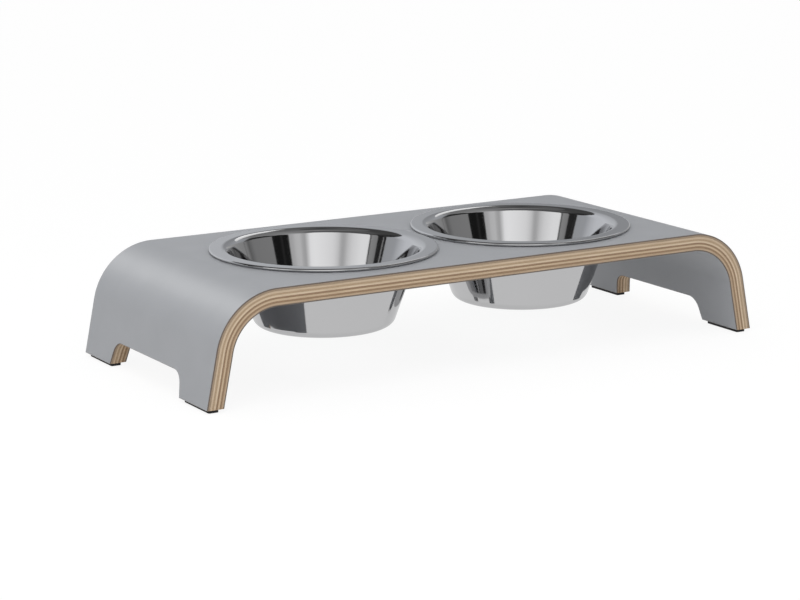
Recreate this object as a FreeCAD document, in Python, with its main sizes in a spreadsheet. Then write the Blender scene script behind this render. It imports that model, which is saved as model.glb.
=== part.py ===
import FreeCAD, Part
import math
import os

import Sketcher
from FreeCAD import Vector

# Raised feeding station: a bench form-pressed from veneers and laminate, with two spun steel bowls
# Millimetres: X runs along the bench, -Y is its front, Z is up and the floor is at Z = 0

doc = FreeCAD.newDocument("FeedingStation")
sheet = doc.addObject("Spreadsheet::Sheet", "Sizes")

# Driving dimensions: alias, value and what it measures
driving_dimensions = (
    ("bench_length", 520.0, "over the outer faces of the legs, where the legs end"),
    ("bench_width", 220.0, "front edge to back edge"),
    ("bench_height", 90.9, "floor to the top of the bench"),
    ("leg_splay", 11.5, "lean of each leg from upright, in degrees"),
    ("bend_radius", 54.0, "outer face of each bend"),
    ("laminate", 1.0, "thickness of each laminate sheet"),
    ("veneer", 1.5, "thickness of each veneer"),
    ("glue_line", 0.05, "glue between two layers"),
    ("foot_width", 47.3, "each foot, front to back, where the leg ends"),
    ("notch_height", 19.2, "arch between the two feet of a leg"),
    ("notch_draft", 16.0, "lean of the arch's sides from upright, in degrees"),
    ("notch_corner", 12.0, "rounding of the arch's upper corners"),
    ("pad_thickness", 2.9, "foot pad"),
    ("pad_inset", 3.0, "edge of the foot to the edge of its pad"),
    ("pad_corner", 1.5, "rounding of the pad's corners"),
    ("bowl_gap", 5.2, "between the flanges of the two bowls"),
    ("bowl_radius", 78.3, "outside of the bowl's wall, level with the bench top"),
    ("bowl_depth", 62.0, "bench top to the underside of the bowl"),
    ("bowl_taper", 19.5, "lean of the bowl's wall from upright, in degrees"),
    ("bowl_corner", 9.0, "outer rounding between wall and bottom"),
    ("bowl_sheet", 0.6, "thickness of the steel"),
    ("lip_radius", 7.0, "upper rounding between wall and flange"),
    ("flange_width", 15.1, "outside of the bowl's wall to the outer edge of its flange"),
    ("curl_radius", 1.35, "outer rounding of the curled edge"),
    ("seat_clearance", 0.2, "curled edge to the bench top"),
    ("cutout_clearance", 3.0, "bowl's wall to its cut-out, level with the bench top"),
)
for row, (alias, value, meaning) in enumerate(driving_dimensions, start=1):
    sheet.set(f"A{row}", alias)
    sheet.set(f"B{row}", str(value))
    sheet.set(f"C{row}", meaning)
    sheet.setAlias(f"B{row}", alias)
doc.recompute()

VENEER_COUNT = 8
BOARD = f"( 2 * laminate + {VENEER_COUNT} * veneer + {VENEER_COUNT + 1} * glue_line )"
RIM = "( bowl_radius + flange_width )"
BOWL_ACROSS = f"( {RIM} + bowl_gap / 2 )"


def size(expression):
    """Value of an expression in the sheet's aliases."""
    return float(sheet.evalExpression(expression))


def in_sheet(expression):
    """The same expression with the sheet's name before each alias, as other objects read it."""
    words = expression.replace("(", "( ").replace(")", " )").split()
    aliases = {alias for alias, value, meaning in driving_dimensions}
    return " ".join(f"Sizes.{word}" if word in aliases else word for word in words)


def new_body(label):
    body = doc.addObject("PartDesign::Body", label)
    body.Label = label
    return body


def origin_plane(body, role):
    return next(feature for feature in body.Origin.OriginFeatures if feature.Role == role)


def new_sketch(body, name, role):
    sketch = body.newObject("Sketcher::SketchObject", name)
    sketch.AttachmentSupport = [(origin_plane(body, role), "")]
    sketch.MapMode = "FlatFace"
    return sketch


def line(sketch, start, end):
    return sketch.addGeometry(Part.LineSegment(Vector(*start), Vector(*end)))


def arc(sketch, centre, radius, first_angle, last_angle):
    circle = Part.Circle(Vector(*centre), Vector(0, 0, 1), radius)
    return sketch.addGeometry(Part.ArcOfCircle(circle, first_angle, last_angle))


def places(elements):
    """Sketch elements as numbers: words stand for their points and for the sketch's own axes."""
    words = {"start": (1,), "end": (2,), "centre": (3,), "origin": (-1, 1), "x_axis": (-1,), "y_axis": (-2,)}
    numbers = []
    for element in elements:
        numbers.extend(words.get(element, (element,)))
    return numbers


def rule(sketch, kind, *elements):
    sketch.addConstraint(Sketcher.Constraint(kind, *places(elements)))


def dimension(sketch, name, kind, *elements, equals):
    """Adds a dimension with a name of its own and binds it to the sheet."""
    value = size(equals)
    if kind == "Angle":
        value = math.radians(value)
    index = sketch.addConstraint(Sketcher.Constraint(kind, *places(elements), value))
    sketch.renameConstraint(index, name)
    sketch.setExpression(f"Constraints.{name}", in_sheet(equals))


def extrude(body, kind, name, sketch):
    """Pad or pocket that runs to both sides of its sketch."""
    feature = body.newObject(kind, name)
    feature.Profile = sketch
    feature.SideType = "Symmetric"
    return feature


def cut_through(body, name, sketch):
    """Pocket through everything, which has to take material away."""
    doc.recompute()
    volume_before = body.Shape.Volume
    pocket = extrude(body, "PartDesign::Pocket", name, sketch)
    pocket.Type = "ThroughAll"
    doc.recompute()
    if body.Shape.Volume > volume_before - 1:
        raise RuntimeError(f"{pocket.Label} in {body.Label} removes nothing")
    return pocket


# Layers of the bench

def draw_layer(sketch, outer, inner):
    """Right half of one bent layer, whose faces lie at depths outer and inner below the bench's skin."""
    splay = math.radians(size("leg_splay"))
    radius = size("bend_radius")
    floor_gap = size("pad_thickness")
    centre_z = size("bench_height") - radius
    half_length = size("bench_length / 2")
    centre_x = half_length - (radius + (centre_z - floor_gap) * math.sin(splay)) / math.cos(splay)

    def corners(depth):
        """Points where one face of the layer crosses the middle, starts and ends its bend, and ends."""
        bend = radius - depth
        return (
            (0, centre_z + bend, 0),
            (centre_x, centre_z + bend, 0),
            (centre_x + bend * math.cos(splay), centre_z + bend * math.sin(splay), 0),
            (half_length - depth / math.cos(splay), floor_gap, 0),
        )

    middle_out, bend_out, leg_out, foot_out = corners(size(outer))
    middle_in, bend_in, leg_in, foot_in = corners(size(inner))
    centre = (centre_x, centre_z, 0)
    top = line(sketch, middle_out, bend_out)
    bend_outer = arc(sketch, centre, radius - size(outer), splay, math.pi / 2)
    leg = line(sketch, leg_out, foot_out)
    foot = line(sketch, foot_out, foot_in)
    leg_inner = line(sketch, foot_in, leg_in)
    bend_inner = arc(sketch, centre, radius - size(inner), splay, math.pi / 2)
    underside = line(sketch, bend_in, middle_in)
    middle = line(sketch, middle_in, middle_out)

    rule(sketch, "Tangent", top, "end", bend_outer, "end")
    rule(sketch, "Tangent", bend_outer, "start", leg, "start")
    rule(sketch, "Coincident", leg, "end", foot, "start")
    rule(sketch, "Coincident", foot, "end", leg_inner, "start")
    rule(sketch, "Tangent", leg_inner, "end", bend_inner, "start")
    rule(sketch, "Tangent", bend_inner, "end", underside, "start")
    rule(sketch, "Coincident", underside, "end", middle, "start")
    rule(sketch, "Coincident", middle, "end", top, "start")
    rule(sketch, "Coincident", bend_outer, "centre", bend_inner, "centre")
    rule(sketch, "Horizontal", top)
    rule(sketch, "Horizontal", foot)
    rule(sketch, "Horizontal", underside)
    rule(sketch, "Parallel", leg, leg_inner)
    rule(sketch, "Vertical", middle)
    rule(sketch, "PointOnObject", middle, "start", "y_axis")

    dimension(sketch, "OuterBend", "Radius", bend_outer, equals=f"bend_radius - {outer}")
    dimension(sketch, "InnerBend", "Radius", bend_inner, equals=f"bend_radius - {inner}")
    dimension(sketch, "Top", "DistanceY", "origin", top, "start", equals=f"bench_height - {outer}")
    dimension(sketch, "FootAcross", "DistanceX", "origin", leg, "end",
              equals=f"bench_length / 2 - {outer} / cos( leg_splay )")
    dimension(sketch, "FootAbove", "DistanceY", "origin", leg, "end", equals="pad_thickness")
    dimension(sketch, "Splay", "Angle", leg, equals="leg_splay - 90")


def draw_notch(sketch):
    """Arch between the two feet of a leg, seen along the bench."""
    draft = math.radians(size("notch_draft"))
    corner = size("notch_corner")
    low = size("pad_thickness")
    high = size("pad_thickness + notch_height")
    half = size("bench_width / 2 - foot_width")
    centre_z = high - corner
    centre_y = half - (centre_z - low) * math.tan(draft) - corner / math.cos(draft)
    side_y = centre_y + corner * math.cos(draft)
    side_z = centre_z + corner * math.sin(draft)
    base = line(sketch, (-half, low, 0), (half, low, 0))
    right = line(sketch, (half, low, 0), (side_y, side_z, 0))
    right_corner = arc(sketch, (centre_y, centre_z, 0), corner, draft, math.pi / 2)
    crown = line(sketch, (centre_y, high, 0), (-centre_y, high, 0))
    left_corner = arc(sketch, (-centre_y, centre_z, 0), corner, math.pi / 2, math.pi - draft)
    left = line(sketch, (-side_y, side_z, 0), (-half, low, 0))

    rule(sketch, "Coincident", base, "end", right, "start")
    rule(sketch, "Tangent", right, "end", right_corner, "start")
    rule(sketch, "Tangent", right_corner, "end", crown, "start")
    rule(sketch, "Tangent", crown, "end", left_corner, "start")
    rule(sketch, "Tangent", left_corner, "end", left, "start")
    rule(sketch, "Coincident", left, "end", base, "start")
    rule(sketch, "Symmetric", base, "start", base, "end", "y_axis")
    rule(sketch, "Symmetric", crown, "start", crown, "end", "y_axis")
    rule(sketch, "Equal", right_corner, left_corner)

    dimension(sketch, "Width", "DistanceX", base, "start", base, "end", equals="bench_width - 2 * foot_width")
    dimension(sketch, "Base", "DistanceY", "origin", base, "start", equals="pad_thickness")
    dimension(sketch, "Height", "DistanceY", base, "end", crown, "start", equals="notch_height")
    dimension(sketch, "Corner", "Radius", right_corner, equals="notch_corner")
    dimension(sketch, "Draft", "Angle", right, equals="90 + notch_draft")


def draw_cutout(sketch):
    """Round hole for a bowl, seen from above."""
    centre = Vector(size(BOWL_ACROSS), 0, 0)
    hole = sketch.addGeometry(Part.Circle(centre, Vector(0, 0, 1), size("bowl_radius + cutout_clearance")))
    rule(sketch, "PointOnObject", hole, "centre", "x_axis")
    dimension(sketch, "Across", "DistanceX", "origin", hole, "centre", equals=BOWL_ACROSS)
    dimension(sketch, "Hole", "Radius", hole, equals="bowl_radius + cutout_clearance")


def bench_layer(label, outer, thickness):
    """One layer of the pressed board: half of it is drawn and cut, then mirrored to the other leg."""
    body = new_body(label)
    profile = new_sketch(body, f"{label}_profile", "XZ_Plane")
    draw_layer(profile, outer, f"( {outer} + {thickness} )")
    pad = extrude(body, "PartDesign::Pad", f"{label}_pad", profile)
    pad.setExpression("Length", in_sheet("bench_width"))

    notch_sketch = new_sketch(body, f"{label}_notch_sketch", "YZ_Plane")
    draw_notch(notch_sketch)
    notch = cut_through(body, f"{label}_notch", notch_sketch)

    cutout_sketch = new_sketch(body, f"{label}_cutout_sketch", "XY_Plane")
    draw_cutout(cutout_sketch)
    cutout = cut_through(body, f"{label}_cutout", cutout_sketch)

    halves = body.newObject("PartDesign::Mirrored", f"{label}_halves")
    halves.Originals = [pad, notch, cutout]
    halves.MirrorPlane = (origin_plane(body, "YZ_Plane"), [""])
    halves.Refine = True
    body.Tip = halves
    return body


def veneer_depth(number):
    """Depth of a veneer's outer face below the bench's skin, counted from 1 at the top laminate."""
    return f"( laminate + {number} * glue_line + {number - 1} * veneer )"


layers = [bench_layer("top_laminate", "( 0 * laminate )", "laminate")]
for number in range(1, VENEER_COUNT + 1):
    layers.append(bench_layer(f"veneer_{number}", veneer_depth(number), "veneer"))
layers.append(bench_layer("bottom_laminate", f"( {BOARD} - laminate )", "laminate"))


# Foot pads

def foot_pad(label, side, end):
    """Pad glued under one foot: side is -1 for the left leg, end is -1 for the front."""
    body = new_body(label)
    outline = new_sketch(body, f"{label}_outline", "XY_Plane")
    across = f"{BOARD} / cos( leg_splay ) - 2 * pad_inset"
    along = "foot_width - 2 * pad_inset"
    x, y = size(across) / 2, size(along) / 2
    points = [(-x, -y, 0), (x, -y, 0), (x, y, 0), (-x, y, 0)]
    sides = [line(outline, points[n], points[(n + 1) % 4]) for n in range(4)]
    for n in range(4):
        rule(outline, "Coincident", sides[n], "end", sides[(n + 1) % 4], "start")
        rule(outline, "Vertical" if n % 2 else "Horizontal", sides[n])
    rule(outline, "Symmetric", sides[0], "start", sides[2], "start", "origin")
    dimension(outline, "Across", "DistanceX", sides[0], "start", sides[0], "end", equals=across)
    dimension(outline, "Along", "DistanceY", sides[1], "start", sides[1], "end", equals=along)
    pad = body.newObject("PartDesign::Pad", f"{label}_pad")
    pad.Profile = outline
    pad.setExpression("Length", in_sheet("pad_thickness"))
    doc.recompute()

    upright = [f"Edge{n}" for n, edge in enumerate(pad.Shape.Edges, start=1)
               if abs(edge.tangentAt(edge.FirstParameter).z) > 0.99]
    rounding = body.newObject("PartDesign::Fillet", f"{label}_rounding")
    rounding.Base = (pad, upright)
    rounding.setExpression("Radius", in_sheet("pad_corner"))
    foot_x = f"{side} * ( bench_length - {BOARD} / cos( leg_splay ) ) / 2"
    body.setExpression("Placement.Base.x", in_sheet(foot_x))
    body.setExpression("Placement.Base.y", in_sheet(f"{end} * ( bench_width - foot_width ) / 2"))
    return body


pads = []
for side_name, side in (("left", -1), ("right", 1)):
    for end_name, end in (("front", -1), ("back", 1)):
        pads.append(foot_pad(f"{end_name}_{side_name}_pad", side, end))


# Bowls

def draw_bowl(sketch):
    """Section of the spun sheet from the axis out to the curled edge; the bench top is at height 0."""
    taper = math.radians(size("bowl_taper"))
    steel = size("bowl_sheet")
    corner = size("bowl_corner")
    lip = size("lip_radius")
    curl = size("curl_radius")
    bottom = -size("bowl_depth")
    flange = size("seat_clearance + 2 * curl_radius")
    rim = size(f"{RIM} - curl_radius")

    def on_wall(z, outward):
        """Point at height z on a line parallel to the wall's outer face, moved outward from it."""
        return size("bowl_radius") + z * math.tan(taper) + outward / math.cos(taper)

    corner_z = bottom + corner
    corner_x = on_wall(corner_z, -corner)
    lip_z = flange - lip
    lip_x = on_wall(lip_z, lip - steel)
    curl_z = flange - curl

    def turn(centre_x, centre_z, radius, angle):
        return (centre_x + radius * math.cos(angle), centre_z + radius * math.sin(angle), 0)

    wall_normal = -taper
    lip_end = math.pi - taper
    wall_foot = turn(corner_x, corner_z, corner, wall_normal)
    wall_foot_in = turn(corner_x, corner_z, corner - steel, wall_normal)
    wall_head = turn(lip_x, lip_z, lip - steel, lip_end)
    wall_head_in = turn(lip_x, lip_z, lip, lip_end)
    floor_out = line(sketch, (0, bottom, 0), (corner_x, bottom, 0))
    corner_out = arc(sketch, (corner_x, corner_z, 0), corner, -math.pi / 2, wall_normal)
    wall_out = line(sketch, wall_foot, wall_head)
    lip_under = arc(sketch, (lip_x, lip_z, 0), lip - steel, math.pi / 2, lip_end)
    flange_under = line(sketch, (lip_x, flange - steel, 0), (rim, flange - steel, 0))
    curl_in = arc(sketch, (rim, curl_z, 0), curl - steel, -math.pi, math.pi / 2)
    curl_end = line(sketch, (rim - curl + steel, curl_z, 0), (rim - curl, curl_z, 0))
    curl_out = arc(sketch, (rim, curl_z, 0), curl, -math.pi, math.pi / 2)
    flange_top = line(sketch, (rim, flange, 0), (lip_x, flange, 0))
    lip_top = arc(sketch, (lip_x, lip_z, 0), lip, math.pi / 2, lip_end)
    wall_in = line(sketch, wall_head_in, wall_foot_in)
    corner_in = arc(sketch, (corner_x, corner_z, 0), corner - steel, -math.pi / 2, wall_normal)
    floor_in = line(sketch, (corner_x, bottom + steel, 0), (0, bottom + steel, 0))
    axis = line(sketch, (0, bottom + steel, 0), (0, bottom, 0))
    level = sketch.addGeometry(Part.Point(Vector(size("bowl_radius"), 0, 0)), True)

    rule(sketch, "Tangent", floor_out, "end", corner_out, "start")
    rule(sketch, "Tangent", corner_out, "end", wall_out, "start")
    rule(sketch, "Tangent", wall_out, "end", lip_under, "end")
    rule(sketch, "Tangent", lip_under, "start", flange_under, "start")
    rule(sketch, "Tangent", flange_under, "end", curl_in, "end")
    rule(sketch, "Coincident", curl_in, "start", curl_end, "start")
    rule(sketch, "Coincident", curl_end, "end", curl_out, "start")
    rule(sketch, "Tangent", curl_out, "end", flange_top, "start")
    rule(sketch, "Tangent", flange_top, "end", lip_top, "start")
    rule(sketch, "Tangent", lip_top, "end", wall_in, "start")
    rule(sketch, "Tangent", wall_in, "end", corner_in, "end")
    rule(sketch, "Tangent", corner_in, "start", floor_in, "start")
    rule(sketch, "Coincident", floor_in, "end", axis, "start")
    rule(sketch, "Coincident", axis, "end", floor_out, "start")
    rule(sketch, "Coincident", corner_out, "centre", corner_in, "centre")
    rule(sketch, "Coincident", lip_top, "centre", lip_under, "centre")
    rule(sketch, "Coincident", curl_out, "centre", curl_in, "centre")
    for flat in (floor_out, flange_under, curl_end, flange_top, floor_in):
        rule(sketch, "Horizontal", flat)
    rule(sketch, "Horizontal", curl_end, "start", curl_in, "centre")
    rule(sketch, "Parallel", wall_out, wall_in)
    rule(sketch, "Vertical", axis)
    rule(sketch, "PointOnObject", axis, "start", "y_axis")
    rule(sketch, "PointOnObject", level, "start", "x_axis")
    rule(sketch, "PointOnObject", level, "start", wall_out)

    dimension(sketch, "Wall", "DistanceX", "origin", level, "start", equals="bowl_radius")
    dimension(sketch, "Taper", "Angle", wall_out, equals="90 - bowl_taper")
    dimension(sketch, "Depth", "DistanceY", floor_out, "start", "origin", equals="bowl_depth")
    dimension(sketch, "Corner", "Radius", corner_out, equals="bowl_corner")
    dimension(sketch, "CornerInside", "Radius", corner_in, equals="bowl_corner - bowl_sheet")
    dimension(sketch, "Lip", "Radius", lip_top, equals="lip_radius")
    dimension(sketch, "Curl", "Radius", curl_out, equals="curl_radius")
    dimension(sketch, "Rim", "DistanceX", "origin", curl_out, "centre", equals=f"{RIM} - curl_radius")
    dimension(sketch, "Flange", "DistanceY", "origin", flange_top, "start",
              equals="seat_clearance + 2 * curl_radius")


def spun_bowl(label, side):
    """Bowl turned from one sheet, hung by its flange in a cut-out of the bench."""
    body = new_body(label)
    section = new_sketch(body, f"{label}_section", "XZ_Plane")
    draw_bowl(section)
    spin = body.newObject("PartDesign::Revolution", f"{label}_spin")
    spin.Profile = section
    spin.ReferenceAxis = (section, ["V_Axis"])
    spin.Angle = 360
    body.setExpression("Placement.Base.x", in_sheet(f"{side} * {BOWL_ACROSS}"))
    body.setExpression("Placement.Base.z", in_sheet("bench_height"))
    return body


bowls = [spun_bowl("left_bowl", -1), spun_bowl("right_bowl", 1)]


# Checks and part files

doc.recompute()
for item in doc.Objects:
    if "Invalid" in item.State or "Error" in item.State:
        raise RuntimeError(f"{item.Label} did not build")
sub_parts = layers + pads + bowls
for part in sub_parts:
    if part.Shape.isNull() or not part.Shape.isValid() or len(part.Shape.Solids) != 1:
        raise RuntimeError(f"{part.Label} is not one valid solid")
os.makedirs("parts", exist_ok=True)
for part in sub_parts:
    part.Shape.exportStep(f"parts/{part.Label}.step")
    print(f"{part.Label}: {part.Shape.Volume / 1000:.1f} cm3")
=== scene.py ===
import bmesh
import bpy
import math
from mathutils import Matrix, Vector
from mathutils.geometry import tessellate_polygon


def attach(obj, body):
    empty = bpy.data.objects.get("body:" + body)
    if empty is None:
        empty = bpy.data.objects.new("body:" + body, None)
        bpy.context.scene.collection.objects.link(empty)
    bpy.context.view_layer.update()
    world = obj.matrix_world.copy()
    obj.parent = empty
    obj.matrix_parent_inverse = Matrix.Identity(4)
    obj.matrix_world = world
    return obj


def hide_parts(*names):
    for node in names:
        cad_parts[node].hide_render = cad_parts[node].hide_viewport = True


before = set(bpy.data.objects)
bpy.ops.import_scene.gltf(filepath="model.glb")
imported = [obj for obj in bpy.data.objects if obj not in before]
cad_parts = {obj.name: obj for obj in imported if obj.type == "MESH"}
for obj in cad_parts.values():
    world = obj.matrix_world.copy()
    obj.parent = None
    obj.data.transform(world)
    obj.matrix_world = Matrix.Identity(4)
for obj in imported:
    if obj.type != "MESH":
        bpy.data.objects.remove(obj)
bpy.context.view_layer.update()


# Veneers of the bench
# Eight rotary-cut birch veneers, 1.5 mm each, glued with their grain crossed and pressed hot in a form,
# which bends both legs down from one flat board. Their sanded edges show as stripes all round it.

MM = 0.001
LENGTH = 520 * MM
WIDTH = 220 * MM
HEIGHT = 90.9 * MM
SPLAY = math.radians(11.5)
BEND_RADIUS = 54 * MM
BEND_STEPS = 40
PAD_THICKNESS = 2.9 * MM
LAMINATE = 1.0 * MM
VENEER = 1.5 * MM
GLUE_LINE = 0.05 * MM
VENEER_COUNT = 8
BOARD = 2 * LAMINATE + VENEER_COUNT * VENEER + (VENEER_COUNT + 1) * GLUE_LINE

BEND_Z = HEIGHT - BEND_RADIUS
BEND_X = LENGTH / 2 - (BEND_RADIUS + (BEND_Z - PAD_THICKNESS) * math.sin(SPLAY)) / math.cos(SPLAY)
BEND_TURN = math.pi / 2 - SPLAY

FOOT_WIDTH = 47.3 * MM
NOTCH_HEIGHT = 19.2 * MM
NOTCH_DRAFT = math.radians(16)
NOTCH_CORNER = 12 * MM
NOTCH_STEPS = 14
NOTCH_HALF = WIDTH / 2 - FOOT_WIDTH
NOTCH_Z = PAD_THICKNESS + NOTCH_HEIGHT - NOTCH_CORNER
NOTCH_Y = (NOTCH_HALF - (NOTCH_Z - PAD_THICKNESS) * math.tan(NOTCH_DRAFT)
           - NOTCH_CORNER / math.cos(NOTCH_DRAFT))

BOWL_X = 96 * MM
CUTOUT_RADIUS = 81.3 * MM
CUTOUT_STEPS = 144


def on_bend(side, turn, y, depth):
    """A point of the bend, turned down from the top: where it is, and where it was in the flat board."""
    radius = BEND_RADIUS - depth
    place = (side * (BEND_X + radius * math.sin(turn)), y, BEND_Z + radius * math.cos(turn))
    return place, (side * (BEND_X + BEND_RADIUS * turn), y, depth)


def on_leg(side, z, y, depth):
    """A point of the straight leg at height z: where it is, and where it was in the flat board."""
    x = LENGTH / 2 - depth / math.cos(SPLAY) - (z - PAD_THICKNESS) * math.tan(SPLAY)
    leg_top = BEND_Z + (BEND_RADIUS - depth) * math.sin(SPLAY)
    run = BEND_X + BEND_RADIUS * BEND_TURN + (leg_top - z) / math.cos(SPLAY)
    return (side * x, y, z), (side * run, y, depth)


def long_edge(y, depth, inset):
    """Points of the front or back edge, from the left foot over the top to the right foot."""
    turns = [BEND_TURN * step / BEND_STEPS for step in range(BEND_STEPS + 1)]
    edge = [on_leg(-1, PAD_THICKNESS + inset, y, depth)]
    edge += [on_bend(-1, turn, y, depth) for turn in reversed(turns)]
    edge += [on_bend(1, turn, y, depth) for turn in turns]
    edge += [on_leg(1, PAD_THICKNESS + inset, y, depth)]
    return edge


def leg_end(side, depth, inset):
    """Points of the arch between the feet of one leg, from front to back."""
    low = NOTCH_HALF + inset / math.cos(NOTCH_DRAFT) - inset * math.tan(NOTCH_DRAFT)
    corner = NOTCH_CORNER + inset
    steps = [step / NOTCH_STEPS for step in range(NOTCH_STEPS + 1)]
    angles = [NOTCH_DRAFT + (math.pi / 2 - NOTCH_DRAFT) * step for step in steps]
    half = [(low, PAD_THICKNESS + inset)]
    half += [(NOTCH_Y + corner * math.cos(a), NOTCH_Z + corner * math.sin(a)) for a in angles]
    points = [(-y, z) for y, z in half] + list(reversed(half))
    return [on_leg(side, z, y, depth) for y, z in points]


def cutout(side, depth, inset):
    """Points round the hole for a bowl."""
    radius = CUTOUT_RADIUS + inset
    angles = [2 * math.pi * step / CUTOUT_STEPS for step in range(CUTOUT_STEPS)]
    points = [(side * BOWL_X + radius * math.cos(a), radius * math.sin(a)) for a in angles]
    return [((x, y, HEIGHT - depth), (x, y, depth)) for x, y in points]


def new_piece(name, points, faces, sharp):
    """An object of these faces, turned outward and smooth up to an angle in degrees."""
    mesh = bpy.data.meshes.new(name)
    mesh.from_pydata(points, [], faces)
    shape = bmesh.new()
    shape.from_mesh(mesh)
    bmesh.ops.recalc_face_normals(shape, faces=shape.faces)
    shape.to_mesh(mesh)
    shape.free()
    mesh.polygons.foreach_set("use_smooth", [True] * len(mesh.polygons))
    mesh.set_sharp_from_angle(angle=math.radians(sharp))
    piece = bpy.data.objects.new(name, mesh)
    bpy.context.scene.collection.objects.link(piece)
    return piece


def board_layer(name, rings, face_material, edge_material):
    """A closed sheet of the bench: rings are (depth, inset) pairs from its outer face to its inner face."""
    points, starts = [], []
    for depth, inset in rings:
        front = long_edge(-(WIDTH / 2 - inset), depth, inset)
        back = long_edge(WIDTH / 2 - inset, depth, inset)
        arches = [leg_end(side, depth, inset) for side in (1, -1)]
        holes = [cutout(side, depth, inset) for side in (-1, 1)]
        starts.append(len(points))
        points += front + arches[0] + back[::-1] + arches[1][::-1] + holes[0] + holes[1]

    run, arch = len(front), len(arches[0])
    fronts = list(range(run))
    right_arch = list(range(run, run + arch))
    backs = list(range(run + arch, 2 * run + arch))[::-1]
    left_arch = list(range(2 * run + arch, 2 * run + 2 * arch))[::-1]
    left_hole = list(range(2 * run + 2 * arch, 2 * run + 2 * arch + CUTOUT_STEPS))
    right_hole = [n + CUTOUT_STEPS for n in left_hole]
    loops = [fronts + right_arch + backs[::-1] + left_arch[::-1], left_hole, right_hole]

    def flat(start, *outlines):
        """Triangles over a flat outline, with holes in it or without."""
        corners = [[Vector(points[start + n][0]) for n in outline] for outline in outlines]
        numbers = [start + n for outline in outlines for n in outline]
        return [tuple(numbers[n] for n in triangle) for triangle in tessellate_polygon(corners)]

    faces = []
    for start in (starts[0], starts[-1]):
        for n in range(1, run - 2):
            strip = [fronts[n], fronts[n + 1], backs[n + 1], backs[n]]
            if n == BEND_STEPS + 1:
                faces += flat(start, strip, left_hole, right_hole)
            else:
                faces.append([start + m for m in strip])
        faces += flat(start, [fronts[1], fronts[0]] + left_arch + [backs[0], backs[1]])
        faces += flat(start, [fronts[-2], fronts[-1]] + right_arch + [backs[-1], backs[-2]])
    skin_faces = len(faces)
    for loop in loops:
        for upper, lower in zip(starts, starts[1:]):
            for n, m in zip(loop, loop[1:] + loop[:1]):
                faces.append([upper + n, upper + m, lower + m, lower + n])

    piece = new_piece(name, [place for place, unbent in points], faces, sharp=50)
    unbent = piece.data.attributes.new("unbent", "FLOAT_VECTOR", "POINT")
    unbent.data.foreach_set("vector", [value for place, flat_place in points for value in flat_place])
    piece.data.materials.append(face_material)
    piece.data.materials.append(edge_material)
    kinds = [0] * skin_faces + [1] * (len(faces) - skin_faces)
    piece.data.polygons.foreach_set("material_index", kinds)
    return piece


def linear(colour):
    """Linear colour of an sRGB hex value."""
    channels = [int(colour[n:n + 2], 16) / 255 for n in (1, 3, 5)]
    return [c / 12.92 if c <= 0.04045 else ((c + 0.055) / 1.055) ** 2.4 for c in channels] + [1.0]


def node(tree, kind, inputs=None, stops=None, **settings):
    """Adds a node. An input is a value or the output that feeds it; a ramp's stops are (place, colour)."""
    made = tree.nodes.new(kind)
    for name, value in settings.items():
        setattr(made, name, value)
    for name, value in (inputs or {}).items():
        if isinstance(value, bpy.types.NodeSocket):
            tree.links.new(value, made.inputs[name])
        else:
            made.inputs[name].default_value = value
    for place, colour in stops or []:
        stop = made.color_ramp.elements.new(place)
        stop.color = linear(colour)
    if stops:
        made.color_ramp.elements.remove(made.color_ramp.elements[0])
        made.color_ramp.elements.remove(made.color_ramp.elements[-1])
    return made


def new_material(name):
    """An empty material, with its node tree and its output."""
    material = bpy.data.materials.new(name)
    material.use_nodes = True
    material.node_tree.nodes.clear()
    output = node(material.node_tree, "ShaderNodeOutputMaterial")
    return material, material.node_tree, output


# Birch sanded on its edge: fibres show as fine streaks where they run along the edge and as dots where
# they end in it. Both are about 0.2 mm in the wood and are drawn coarser here, so that they show.
FIBRE_LENGTH = 28 * MM
FIBRE_WIDTH = 0.5 * MM
FIBRE_RELIEF = 0.05 * MM


def sanded_birch(name, pale, deep, fibres_along):
    """Birch veneer whose fibres run along the bench, or else across it."""
    material, tree, output = new_material(name)
    unbent = node(tree, "ShaderNodeAttribute", attribute_name="unbent").outputs["Vector"]
    along, across = (FIBRE_LENGTH, FIBRE_WIDTH) if fibres_along else (FIBRE_WIDTH, FIBRE_LENGTH)
    fibre_scale = (1 / along, 1 / across, 1 / FIBRE_WIDTH)
    place = node(tree, "ShaderNodeMapping", {"Vector": unbent, "Scale": fibre_scale}).outputs["Vector"]
    fibre = node(tree, "ShaderNodeTexNoise", {"Vector": place, "Scale": 1.0, "Detail": 3.0}).outputs["Fac"]
    tone = node(tree, "ShaderNodeValToRGB", {"Fac": fibre},
                stops=[(0.3, deep), (0.62, pale)]).outputs["Color"]
    bump = node(tree, "ShaderNodeBump", {"Height": fibre, "Strength": 0.25, "Distance": FIBRE_RELIEF})
    shader = node(tree, "ShaderNodeBsdfPrincipled",
                  {"Base Color": tone, "Roughness": 0.62, "IOR": 1.5, "Normal": bump.outputs["Normal"]})
    tree.links.new(shader.outputs["BSDF"], output.inputs["Surface"])
    return material


# Pale and deep tone of each veneer, from the top down.
VENEER_TONES = (
    ("#b09a82", "#8e7861"),
    ("#d6c0a4", "#bca588"),
    ("#c0a688", "#9f8568"),
    ("#dfcaae", "#c8b092"),
    ("#a5886a", "#7f644b"),
    ("#d5bd9f", "#bba182"),
    ("#a6896a", "#7f644a"),
    ("#c6ad90", "#a98f74"),
)
for number, (pale, deep) in enumerate(VENEER_TONES, start=1):
    outer = LAMINATE + number * GLUE_LINE + (number - 1) * VENEER
    fibres_along = number % 2 == 0
    birch = sanded_birch(f"sanded_birch_{number}", pale, deep, fibres_along)
    layer = board_layer(f"bench_veneer_{number}", [(outer, 0), (outer + VENEER, 0)], birch, birch)
    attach(layer, "bench")
    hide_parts(f"veneer_{number}")


# Laminates of the bench
# High-pressure laminate, 1 mm thick, pressed on with the veneers as both outer skins of the board.
# Its grey decor sheet lies on dark resin-soaked paper, which shows as a thin line along the cut edge.

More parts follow.
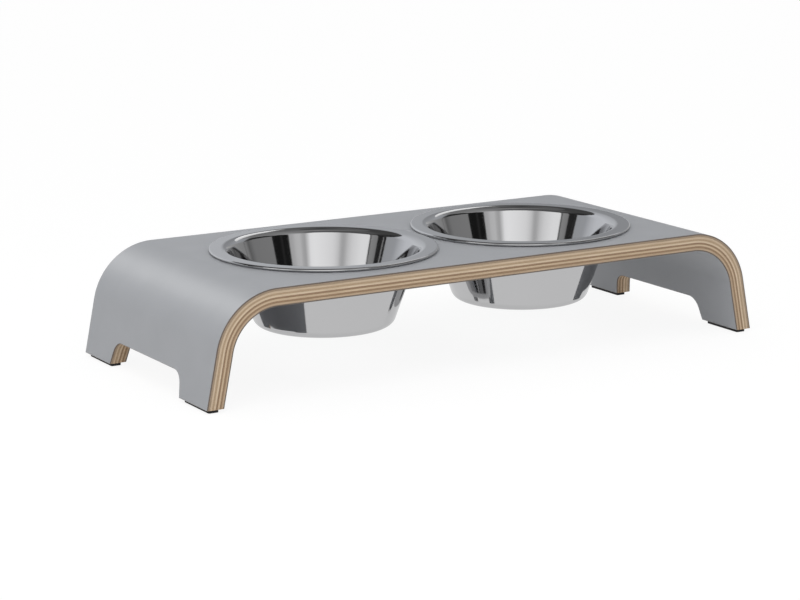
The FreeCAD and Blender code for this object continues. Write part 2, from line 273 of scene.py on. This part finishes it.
ARRIS = 0.3 * MM
ARRIS_STEPS = 3

# The pearl grains and the plies of the core are about 0.1 mm in the real sheet. Both are drawn coarser
# here, so that they show.
PEARL_GRAIN = 0.6 * MM
PEARL_RELIEF = 0.03 * MM
CLOUD = 35 * MM
PLY_THICKNESS = 0.15 * MM
PLY_LENGTH = 20 * MM


def satin_laminate():
    """Melamine face with a pressed pearl texture: even grey, dull from above and silky at a low angle."""
    material, tree, output = new_material("grey_satin_laminate")
    unbent = node(tree, "ShaderNodeAttribute", attribute_name="unbent").outputs["Vector"]
    pearl = node(tree, "ShaderNodeTexNoise",
                 {"Vector": unbent, "Scale": 1 / PEARL_GRAIN, "Detail": 2.0}).outputs["Fac"]
    cloud = node(tree, "ShaderNodeTexNoise",
                 {"Vector": unbent, "Scale": 1 / CLOUD, "Detail": 3.0}).outputs["Fac"]
    tone = node(tree, "ShaderNodeValToRGB", {"Fac": cloud},
                stops=[(0.3, "#9a9ca0"), (0.7, "#9ea0a4")]).outputs["Color"]
    silk = node(tree, "ShaderNodeMapRange", {"Value": pearl, "To Min": 0.4, "To Max": 0.48})
    bump = node(tree, "ShaderNodeBump", {"Height": pearl, "Strength": 0.15, "Distance": PEARL_RELIEF})
    shader = node(tree, "ShaderNodeBsdfPrincipled",
                  {"Base Color": tone, "Roughness": silk.outputs["Result"], "IOR": 1.6,
                   "Normal": bump.outputs["Normal"]})
    tree.links.new(shader.outputs["BSDF"], output.inputs["Surface"])
    return material


def laminate_core():
    """Sawn edge of resin-soaked kraft paper: brown, in very fine plies, with a dull polish from the saw."""
    material, tree, output = new_material("sawn_laminate_core")
    unbent = node(tree, "ShaderNodeAttribute", attribute_name="unbent").outputs["Vector"]
    ply_scale = (1 / PLY_LENGTH, 1 / PLY_LENGTH, 1 / PLY_THICKNESS)
    place = node(tree, "ShaderNodeMapping", {"Vector": unbent, "Scale": ply_scale}).outputs["Vector"]
    ply = node(tree, "ShaderNodeTexNoise", {"Vector": place, "Scale": 1.0, "Detail": 2.0}).outputs["Fac"]
    tone = node(tree, "ShaderNodeValToRGB", {"Fac": ply},
                stops=[(0.3, "#5d5147"), (0.7, "#75685b")]).outputs["Color"]
    shader = node(tree, "ShaderNodeBsdfPrincipled", {"Base Color": tone, "Roughness": 0.5, "IOR": 1.55})
    tree.links.new(shader.outputs["BSDF"], output.inputs["Surface"])
    return material


laminate_face = satin_laminate()
laminate_edge = laminate_core()
arris = [math.pi / 2 * step / ARRIS_STEPS for step in range(ARRIS_STEPS + 1)]
eased = [(ARRIS * (1 - math.cos(a)), ARRIS * (1 - math.sin(a))) for a in arris]
top_rings = eased + [(LAMINATE, 0)]
bottom_rings = [(BOARD - depth, inset) for depth, inset in reversed(top_rings)]
for name, rings in (("top_laminate", top_rings), ("bottom_laminate", bottom_rings)):
    layer = board_layer(f"bench_{name}", rings, laminate_face, laminate_edge)
    even = layer.modifiers.new("even_faces", "WEIGHTED_NORMAL")
    even.keep_sharp = True
    even.weight = 100
    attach(layer, "bench")
    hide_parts(name)


# Foot pads
# Four pads die-cut from 2.9 mm black cellular rubber with an adhesive back, stuck under the feet.
# Cutting leaves their sides slightly rounded at the floor.

PAD_INSET = 3.0 * MM
PAD_CORNER = 1.5 * MM
PAD_EASE = 0.15 * MM
PAD_EASE_STEPS = 3
PAD_STEPS = 6
PORE = 0.5 * MM
PORE_DEPTH = 0.1 * MM


def cellular_rubber():
    """Black sponge rubber: dull, with an open skin of 0.3 mm pores, drawn coarser so that they show."""
    material, tree, output = new_material("black_cellular_rubber")
    place = node(tree, "ShaderNodeTexCoord").outputs["Object"]
    pores = node(tree, "ShaderNodeTexVoronoi", {"Vector": place, "Scale": 1 / PORE}).outputs["Distance"]
    # The pores are painted darker towards their hollows, where the bump sinks them: painted shade in the
    # pores.
    tone = node(tree, "ShaderNodeValToRGB", {"Fac": pores},
                stops=[(0.0, "#0c0c0d"), (0.6, "#19191a")]).outputs["Color"]
    bump = node(tree, "ShaderNodeBump", {"Height": pores, "Strength": 0.4, "Distance": PORE_DEPTH})
    shader = node(tree, "ShaderNodeBsdfPrincipled",
                  {"Base Color": tone, "Roughness": 0.85, "IOR": 1.5, "Normal": bump.outputs["Normal"]})
    tree.links.new(shader.outputs["BSDF"], output.inputs["Surface"])
    return material


def pad_outline(centre, half_x, half_y, corner, z):
    """Rounded rectangle round a point, at height z."""
    points = []
    for quarter, (sign_x, sign_y) in enumerate(((1, 1), (-1, 1), (-1, -1), (1, -1))):
        for step in range(PAD_STEPS + 1):
            angle = math.pi / 2 * (quarter + step / PAD_STEPS)
            x = centre[0] + sign_x * (half_x - corner) + corner * math.cos(angle)
            y = centre[1] + sign_y * (half_y - corner) + corner * math.sin(angle)
            points.append((x, y, z))
    return points


rubber = cellular_rubber()
foot_depth = BOARD / math.cos(SPLAY)
for side_name, side in (("left", -1), ("right", 1)):
    for end_name, end in (("front", -1), ("back", 1)):
        centre = (side * (LENGTH - foot_depth) / 2, end * (WIDTH - FOOT_WIDTH) / 2)
        half_x, half_y = foot_depth / 2 - PAD_INSET, FOOT_WIDTH / 2 - PAD_INSET
        rings = []
        for step in range(PAD_EASE_STEPS + 1):
            angle = math.pi / 2 * step / PAD_EASE_STEPS
            ease = PAD_EASE * (1 - math.sin(angle))
            z = PAD_EASE * (1 - math.cos(angle))
            rings.append(pad_outline(centre, half_x - ease, half_y - ease, PAD_CORNER - ease, z))
        rings.append(pad_outline(centre, half_x, half_y, PAD_CORNER, PAD_THICKNESS))
        points = [point for ring in rings for point in ring]
        count = len(rings[0])
        faces = [list(range(count))[::-1], list(range(len(points) - count, len(points)))]
        for ring in range(len(rings) - 1):
            lower, upper = ring * count, (ring + 1) * count
            for n in range(count):
                m = (n + 1) % count
                faces.append([lower + n, lower + m, upper + m, upper + n])
        pad = new_piece(f"{end_name}_{side_name}_foot_pad", points, faces, sharp=40)
        pad.data.materials.append(rubber)
        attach(pad, "bench")
        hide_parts(f"{end_name}_{side_name}_pad")


# Bowls
# Two bowls spun from 0.6 mm stainless sheet and polished inside and out. A wide flat flange with a
# curled edge hangs each of them loosely in its cut-out, from which it lifts straight up.

BOWL_RADIUS = 78.3 * MM
BOWL_DEPTH = 62 * MM
BOWL_TAPER = math.radians(19.5)
BOWL_CORNER = 9 * MM
BOWL_SHEET = 0.6 * MM
LIP_RADIUS = 7 * MM
RIM_RADIUS = 93.4 * MM
CURL_RADIUS = 1.35 * MM
SEAT_CLEARANCE = 0.2 * MM
BOWL_STEPS = 256
ROUND_STEP = math.radians(6)
FEWEST_ROUND_STEPS = 4

# The outside of the wall is shaded as if it had this taper, so that it mirrors the floor and the legs about
# where the photograph shows them. The mesh has the true taper.
SHADED_TAPER = math.radians(-4)


def bowl_section():
    """The sheet's outline from the axis out along the inside and back along the underside.

    Each point is (radius, height above the bench top, direction that its surface faces)."""
    flange = SEAT_CLEARANCE + 2 * CURL_RADIUS
    corner_z = BOWL_CORNER - BOWL_DEPTH
    corner_r = BOWL_RADIUS + corner_z * math.tan(BOWL_TAPER) - BOWL_CORNER / math.cos(BOWL_TAPER)
    lip_z = flange - LIP_RADIUS
    lip_r = BOWL_RADIUS + lip_z * math.tan(BOWL_TAPER) + (LIP_RADIUS - BOWL_SHEET) / math.cos(BOWL_TAPER)
    curl = (RIM_RADIUS - CURL_RADIUS, flange - CURL_RADIUS)

    def turn(centre, radius, first, last, facing=1):
        """Points round an arc; facing is -1 where the surface looks towards the arc's centre."""
        count = max(FEWEST_ROUND_STEPS, math.ceil(abs(last - first) / ROUND_STEP))
        away = 0 if facing == 1 else math.pi
        arc = []
        for n in range(count + 1):
            angle = first + (last - first) * n / count
            r, z = centre[0] + radius * math.cos(angle), centre[1] + radius * math.sin(angle)
            arc.append((r, z, angle + away))
        return arc

    up, down = math.pi / 2, -math.pi / 2
    section = [(0, BOWL_SHEET - BOWL_DEPTH, up)]
    section += turn((corner_r, corner_z), BOWL_CORNER - BOWL_SHEET, down, -BOWL_TAPER, facing=-1)
    section += turn((lip_r, lip_z), LIP_RADIUS, math.pi - BOWL_TAPER, up)
    section += turn(curl, CURL_RADIUS, up, -math.pi)
    section += turn(curl, CURL_RADIUS - BOWL_SHEET, -math.pi, up, facing=-1)
    under_lip = turn((lip_r, lip_z), LIP_RADIUS - BOWL_SHEET, up, math.pi - BOWL_TAPER, facing=-1)
    section += under_lip[:-1]
    outside = [(*under_lip[-1][:2], -BOWL_TAPER)]
    outside += turn((corner_r, corner_z), BOWL_CORNER, -BOWL_TAPER, down)
    steeper = (up - SHADED_TAPER) / (up - BOWL_TAPER)
    section += [(r, z, down + (facing - down) * steeper) for r, z, facing in outside]
    section.append((0, -BOWL_DEPTH, down))
    return section


def spun_bowl(name, centre_x):
    """The section turned about the bowl's axis, with its surface directions kept for clean reflections."""
    section = bowl_section()
    rings = section[1:-1]
    points = [(centre_x, 0, HEIGHT + section[0][1]), (centre_x, 0, HEIGHT + section[-1][1])]
    normals = [(0, 0, 1), (0, 0, -1)]
    spun = [(0, 0, 0), (0, 0, 0)]
    first = len(points)
    travelled, previous = 0, section[0]
    for radius, height, facing in rings:
        travelled += math.dist((radius, height), previous[:2])
        previous = (radius, height)
        for step in range(BOWL_STEPS):
            angle = 2 * math.pi * step / BOWL_STEPS
            c, s = math.cos(angle), math.sin(angle)
            points.append((centre_x + radius * c, radius * s, HEIGHT + height))
            normals.append((math.cos(facing) * c, math.cos(facing) * s, math.sin(facing)))
            spun.append((c, s, travelled))
    faces = []
    last = len(points) - BOWL_STEPS
    for n in range(BOWL_STEPS):
        m = (n + 1) % BOWL_STEPS
        faces.append([0, first + n, first + m])
        faces.append([1, last + m, last + n])
        for ring in range(len(rings) - 1):
            inner = first + ring * BOWL_STEPS
            outer = inner + BOWL_STEPS
            faces.append([inner + n, outer + n, outer + m, inner + m])
    bowl = new_piece(name, points, faces, sharp=180)
    bowl.data.normals_split_custom_set_from_vertices(normals)
    marks = bowl.data.attributes.new("spun", "FLOAT_VECTOR", "POINT")
    marks.data.foreach_set("vector", [value for place in spun for value in place])
    return bowl


# Rings from the polishing wheel are about 0.1 mm apart, and are drawn coarser here, so that they show.
# Each of them changes slowly round the bowl.
RING_WIDTH = 0.8 * MM
RING_RELIEF = 0.02 * MM
RING_CHANGES = 2.0


def polished_steel():
    """Mirror-polished stainless: sharp reflections, softened a little by fine rings round the bowl."""
    material, tree, output = new_material("polished_stainless_steel")
    spun = node(tree, "ShaderNodeAttribute", attribute_name="spun").outputs["Vector"]
    ring_scale = (RING_CHANGES, RING_CHANGES, 1 / RING_WIDTH)
    place = node(tree, "ShaderNodeMapping", {"Vector": spun, "Scale": ring_scale}).outputs["Vector"]
    ring = node(tree, "ShaderNodeTexNoise", {"Vector": place, "Scale": 1.0, "Detail": 3.0}).outputs["Fac"]
    haze = node(tree, "ShaderNodeMapRange", {"Value": ring, "To Min": 0.04, "To Max": 0.1})
    bump = node(tree, "ShaderNodeBump", {"Height": ring, "Strength": 0.02, "Distance": RING_RELIEF})
    shader = node(tree, "ShaderNodeBsdfPrincipled",
                  {"Base Color": linear("#b6b6b7"), "Metallic": 1.0, "Roughness": haze.outputs["Result"],
                   "Normal": bump.outputs["Normal"]})
    tree.links.new(shader.outputs["BSDF"], output.inputs["Surface"])
    return material


steel = polished_steel()
for side_name, side in (("left", -1), ("right", 1)):
    bowl = spun_bowl(f"{side_name}_steel_bowl", side * BOWL_X)
    bowl.data.materials.append(steel)
    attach(bowl, f"{side_name}_bowl")
    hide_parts(f"{side_name}_bowl")


# Studio
# A white paper floor under a white sky and a soft box at the front left. Pale and dark cards far round the
# set show only in reflections, where they draw the bands that a polished bowl picks up in a studio, and a
# second lamp from behind gives the laminate its sheen.

# Where it is seen, the floor glows and takes a faint shade, which together are white outside the shadow.
FLOOR_HALF = 8.0
PAPER = (0.88, 0.88, 0.88, 1)
FAINT_SHADE = (0.12, 0.12, 0.12, 1)
FLOOR_GLOW = 0.9
WHITE = (1, 1, 1, 1)
SKY_LIGHT = 0.74
SKY_SEEN = 1.0


def seen_or_mirrored(tree):
    """1 for rays from the camera, from a mirror or through glass, and 0 for all others."""
    rays = node(tree, "ShaderNodeLightPath").outputs
    seen = rays["Is Camera Ray"]
    for other in ("Is Glossy Ray", "Is Transmission Ray"):
        seen = node(tree, "ShaderNodeMath", {0: seen, 1: rays[other]}, operation="MAXIMUM").outputs[0]
    return seen


def studio_floor():
    """Matt white paper, which the camera and the steel see white with a faint shadow."""
    material, tree, output = new_material("white_paper")
    seen = seen_or_mirrored(tree)
    paper = node(tree, "ShaderNodeBsdfDiffuse", {"Color": PAPER})
    shade = node(tree, "ShaderNodeBsdfDiffuse", {"Color": FAINT_SHADE})
    glow = node(tree, "ShaderNodeEmission", {"Color": WHITE, "Strength": FLOOR_GLOW})
    bright = node(tree, "ShaderNodeAddShader", {0: shade.outputs["BSDF"], 1: glow.outputs["Emission"]})
    surface = node(tree, "ShaderNodeMixShader",
                   {0: seen, 1: paper.outputs["BSDF"], 2: bright.outputs["Shader"]})
    tree.links.new(surface.outputs["Shader"], output.inputs["Surface"])
    return material


corners = [(x * FLOOR_HALF, y * FLOOR_HALF, 0) for x, y in ((-1, -1), (1, -1), (1, 1), (-1, 1))]
floor = new_piece("studio_floor", corners, [(0, 1, 2, 3)], sharp=30)
floor.data.materials.append(studio_floor())

world = bpy.data.worlds.new("white_studio")
bpy.context.scene.world = world
world.use_nodes = True
world.node_tree.nodes.clear()
tree = world.node_tree
level = node(tree, "ShaderNodeMapRange",
             {"Value": seen_or_mirrored(tree), "To Min": SKY_LIGHT, "To Max": SKY_SEEN})
sky = node(tree, "ShaderNodeBackground", {"Color": WHITE, "Strength": level.outputs["Result"]})
node(tree, "ShaderNodeOutputWorld", {"Surface": sky.outputs["Background"]})

# The soft box isn't mirrored, as the cards stand for it. The other lamp lights only the laminate's gloss.
KEY_POWER = 3.0
KEY_PLACE = (-0.45, -0.45, 1.05)
KEY_SIZE = 0.8
SHEEN_POWER = 0.45
SHEEN_PLACE = (-0.16, 0.83, 0.53)
SHEEN_SPREAD = math.radians(24)


def soft_lamp(name, kind, energy, place):
    """A lamp at a place, turned to the middle of the bench."""
    lamp = bpy.data.lights.new(name, kind)
    lamp.energy = energy
    holder = bpy.data.objects.new(name, lamp)
    holder.location = place
    holder.rotation_euler = (-Vector(place)).to_track_quat("-Z", "Y").to_euler()
    bpy.context.scene.collection.objects.link(holder)
    return holder


key_light = soft_lamp("key_light", "AREA", KEY_POWER, KEY_PLACE)
key_light.data.shape = "DISK"
key_light.data.size = KEY_SIZE
key_light.visible_glossy = False
sheen_light = soft_lamp("sheen_light", "SUN", SHEEN_POWER, SHEEN_PLACE)
sheen_light.data.angle = SHEEN_SPREAD
sheen_light.visible_diffuse = False
satin_faces = bpy.data.collections.new("satin_faces")
for name in ("bench_top_laminate", "bench_bottom_laminate"):
    satin_faces.objects.link(bpy.data.objects[name])
sheen_light.light_linking.receiver_collection = satin_faces

CARD_DISTANCE = 30.0
CARD_STEP = 0.3
CARD_FACET = 4
CAMERA_AZIMUTH = 238.18
COOL_WHITE = "#f7faff"
cards = []


def card(name, *stops, paint="#ffffff"):
    """A sheet round the set, seen only in reflections and nearer than the cards before it.

    Its stops are (azimuth, low edge, high edge, brightness), in degrees; azimuths count from the camera,
    with the left side positive."""
    distance = CARD_DISTANCE - CARD_STEP * len(cards)
    rows = math.ceil(max(high - low for azimuth, low, high, glow in stops) / CARD_FACET)
    points, values = [], []
    for first, last in zip(stops, stops[1:]):
        steps = max(1, math.ceil((last[0] - first[0]) / CARD_FACET))
        for step in range(steps + (last == stops[-1])):
            azimuth, low, high, glow = (a + (b - a) * step / steps for a, b in zip(first, last))
            angle = math.radians(CAMERA_AZIMUTH - azimuth)
            for row in range(rows + 1):
                rise = math.radians(low + (high - low) * row / rows)
                points.append((distance * math.cos(rise) * math.cos(angle),
                               distance * math.cos(rise) * math.sin(angle), distance * math.sin(rise)))
                values.append(glow)
    faces = []
    for n in range(len(points) - rows - 1):
        if n % (rows + 1) < rows:
            faces.append((n, n + 1, n + rows + 2, n + rows + 1))
    made = new_piece(name, points, faces, sharp=30)
    brightness = made.data.attributes.new("glow", "FLOAT", "POINT")
    brightness.data.foreach_set("value", values)
    material, tree, output = new_material(name + "_paint")
    level = node(tree, "ShaderNodeAttribute", attribute_name="glow").outputs["Fac"]
    lit = node(tree, "ShaderNodeEmission", {"Color": linear(paint), "Strength": level})
    tree.links.new(lit.outputs["Emission"], output.inputs["Surface"])
    made.data.materials.append(material)
    made.visible_camera = False
    made.visible_diffuse = False
    made.visible_shadow = False
    made.visible_transmission = False
    made.visible_volume_scatter = False
    cards.append(made)


card("ceiling_middle", (-180, 76, 90, 0.08), (-60, 76, 90, 0.15), (90, 76, 90, 0.18), (180, 76, 90, 0.08))
card("high_ceiling", (-180, 62, 76, 0.11), (-160, 62, 76, 0.21), (-60, 62, 76, 0.3), (-15, 62, 76, 0.41),
     (10, 62, 76, 0.32), (90, 62, 76, 0.2), (150, 62, 76, 0.2), (180, 62, 76, 0.11))
card("low_ceiling", (-180, 42, 62, 0.16), (-130, 42, 62, 0.3), (-54, 42, 62, 0.39), (-38, 42, 62, 0.34),
     (-20, 42, 62, 0.2), (40, 42, 62, 0.14), (72, 42, 62, 0.18), (95, 42, 62, 0.1), (160, 42, 62, 0.09),
     (180, 42, 62, 0.16))
card("upper_wall", (-180, 20, 42, 0.14), (-140, 20, 42, 0.43), (-115, 20, 42, 0.32), (-62, 20, 42, 0.43),
     (-48, 20, 42, 0.6), (-38, 20, 42, 0.6), (-24, 20, 42, 0.28), (30, 20, 42, 0.21), (60, 20, 42, 0.11),
     (100, 20, 42, 0.04), (180, 20, 42, 0.14))
card("right_wall", (-180, 0, 34, 0.53), (-176, 0, 34, 0.38), (-165, 0, 34, 0.44), (-138, 0, 34, 0.62),
     (-122, 0, 35, 0.54), (-119, 0, 35, 0.45), paint=COOL_WHITE)
card("right_wall_foot", (-170, 0, 8, 0.54), (-150, 0, 13, 0.49), (-119, 0, 16, 0.41))
card("right_passage", (-119, 0, 33, 0.21), (-111, 0, 35, 0.05), (-88, 0, 36, 0.04), (-70, 0, 31, 0.03))
card("right_panel", (-118, 0, 12, 0.4), (-115, 0, 14, 0.36), (-111, 0, 17, 0.2), (-102, 0, 21, 0.33),
     (-71.7, 0, 24, 0.36))
card("right_flag", (-71.5, 0, 30, 0.015), (-66, 0, 31.5, 0.015), (-61, 0, 31.5, 0.015),
     (-58.5, 0, 31, 0.04), (-56, 0, 30.5, 0.015), (-52, 0, 29.5, 0.015), (-49, 0, 27, 0.015),
     (-47.8, 0, 23, 0.015))
card("right_window", (-171, 31, 50, 1.8), (-158, 28, 54, 1.4), (-144, 25, 55, 1.1))
card("front_panel", (-47.6, 0, 30, 0.7), (-43, 0, 31, 0.75), (-40, 0, 32, 0.88), (-34, 0, 33, 0.92),
     (-31, 0, 33, 0.75), (-27, 0, 33, 0.67), (-24, 0, 35, 1.0), (-20, 0, 37, 1.45))
card("front_softbox", (-20, 0, 37, 1.45), (-14, 0, 39, 1.5), (0, 0, 40, 1.4), (10, 0, 40, 1.3),
     (14, 0, 39, 1.2), (18, 0, 39, 1.05), (22, 0, 38, 0.75), (24.5, 0, 38, 0.7))
card("left_softbox", (24.5, 0, 38, 0.7), (27, 0, 37, 0.77), (31, 0, 36, 1.0), (37, 0, 34.5, 1.2),
     (43, 0, 33.5, 1.3), (50, 0, 32, 1.4), (60, 0, 30, 1.4))
card("left_flag", (60, 0, 30, 0.1), (62, 0, 30, 0.1), (62.2, 0, 28, 0.45), (71.3, 0, 29, 0.37),
     (71.6, 0, 30, 0.03), (84.3, 0, 33, 0.03))
card("left_slit", (78.8, 0, 19.4, 0.45), (80.6, 0, 19.4, 0.45))
card("left_wall", (84.5, 0, 22, 0.6), (100, 0, 28.5, 0.62), (109, 0, 32, 0.84), (120, 0, 36, 1.0),
     (140, 0, 38.5, 1.0), (156, 0, 38.5, 0.85), (175, 0, 34.5, 0.66), (180, 0, 33, 0.53), paint=COOL_WHITE)


# Camera
# A long lens from the front left, a little above the bench, at the photograph's own viewing angle. Its place
# is in metres, its turn in degrees, and its focal length in millimetres.

FOCAL_LENGTH = 112.21
SENSOR_WIDTH = 36
CAMERA_PLACE = (-1.073745, -1.730386, 0.491029)
CAMERA_TURN = (77.440, 0.1309, -31.283)
lens = bpy.data.cameras.new("camera")
lens.sensor_width = SENSOR_WIDTH
lens.lens = FOCAL_LENGTH
camera = bpy.data.objects.new("camera", lens)
camera.location = CAMERA_PLACE
camera.rotation_euler = [math.radians(angle) for angle in CAMERA_TURN]
bpy.context.scene.collection.objects.link(camera)
bpy.context.scene.camera = camera
bpy.context.scene.view_settings.view_transform = "Standard"
